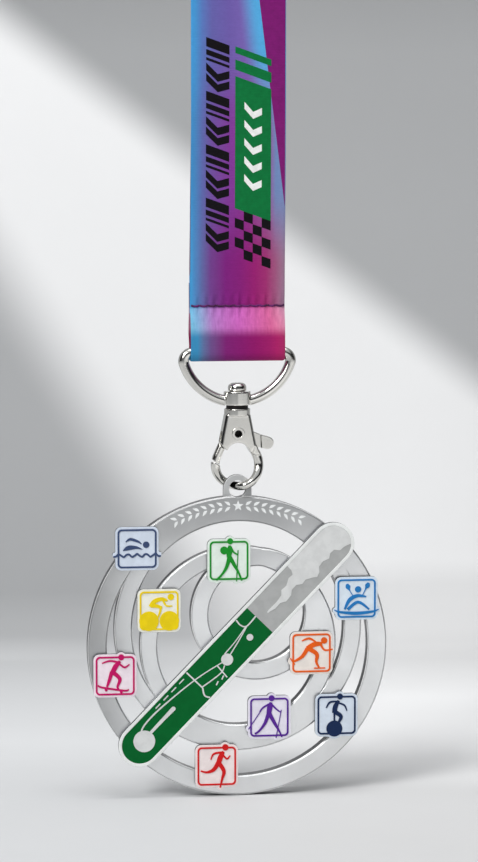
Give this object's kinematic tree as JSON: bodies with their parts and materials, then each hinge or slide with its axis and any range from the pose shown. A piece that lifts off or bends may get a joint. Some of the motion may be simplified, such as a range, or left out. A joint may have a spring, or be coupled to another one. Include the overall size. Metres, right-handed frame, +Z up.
{
  "type": "sports finisher medal",
  "caption": "Openwork round medal of nested rings with a diagonal enamel bar and sport badges, on a swivel snap hook and a printed neck ribbon.",
  "frame": {"origin": "inside of the ribbon's top fold, where it bears on a neck, peg or hook", "axes": "+Z up along the hanging ribbon, X across the ribbon to the wearer's left, -Y out of the medal's front"},
  "size_m": [0.08, 0.0072, 0.2228],
  "materials": {
    "satin_ribbon": "printed satin",
    "sewing_thread": "dark twisted thread",
    "bright_nickel": "bright polished nickel plate",
    "spring_steel": "plain",
    "satin_silver": "fine satin silver plate",
    "white_print": "raised white print",
    "white_enamel": "white enamel rim",
    "green_enamel": "satin enamel",
    "grey_enamel": "satin enamel",
    "pale_enamel": "satin enamel",
    "badge_white": "satin white coat",
    "swimmer_ink": "satin printed ink",
    "cyclist_ink": "satin printed ink",
    "hiker_ink": "satin printed ink",
    "rower_ink": "satin printed ink",
    "skater_ink": "satin printed ink",
    "skateboarder_ink": "satin printed ink",
    "nordic_walker_ink": "satin printed ink",
    "unicyclist_ink": "satin printed ink",
    "runner_ink": "satin printed ink"
  },
  "bodies": {
    "ribbon": {"neck_ribbon": "satin_ribbon", "seam_thread": "sewing_thread"},
    "ring": {"d_ring": "bright_nickel"},
    "clasp": {"swivel_rivet": "bright_nickel", "clasp_body": "bright_nickel", "pivot_pin": "bright_nickel", "lever_spring": "spring_steel"},
    "lever": {"gate_lever": "bright_nickel"},
    "medal": {"medal_rings": "satin_silver", "top_arc_ornament": "white_print", "bar_plate": "white_enamel", "bar_green_enamel": "green_enamel", "bar_grey_enamel": "grey_enamel", "bar_light_enamel": "pale_enamel", "badge_swimmer": "badge_white", "badge_cyclist": "badge_white", "badge_hiker": "badge_white", "badge_rower": "badge_white", "badge_skater": "badge_white", "badge_skateboarder": "badge_white", "badge_nordic_walker": "badge_white", "badge_unicyclist": "badge_white", "badge_runner": "badge_white", "print_swimmer": "swimmer_ink", "print_cyclist": "cyclist_ink", "print_hiker": "hiker_ink", "print_rower": "rower_ink", "print_skater": "skater_ink", "print_skateboarder": "skateboarder_ink", "print_nordic_walker": "nordic_walker_ink", "print_unicyclist": "unicyclist_ink", "print_runner": "runner_ink"}
  },
  "joints": [
    {"name": "ring_swing", "type": "hinge", "parent": "ribbon", "child": "ring", "pos_m": [0, 0, -0.1041], "axis": [1, 0, 0], "range_deg": [-75, 75]},
    {"name": "clasp_swivel", "type": "hinge", "parent": "ring", "child": "clasp", "pos_m": [0, 0, -0.118], "axis": [0, 0, 1], "continuous": true},
    {"name": "gate_trigger", "type": "hinge", "parent": "clasp", "child": "lever", "pos_m": [0, 0.0007, -0.1254], "axis": [0, -1, 0], "range_deg": [0, 28], "stiffness_Nm_per_rad": 0.01, "springref_deg": -28.65},
    {"name": "medal_swing", "type": "hinge", "parent": "clasp", "child": "medal", "pos_m": [0, 0, -0.14015], "axis": [0, -1, 0], "range_deg": [-20, 20]}
  ]
}
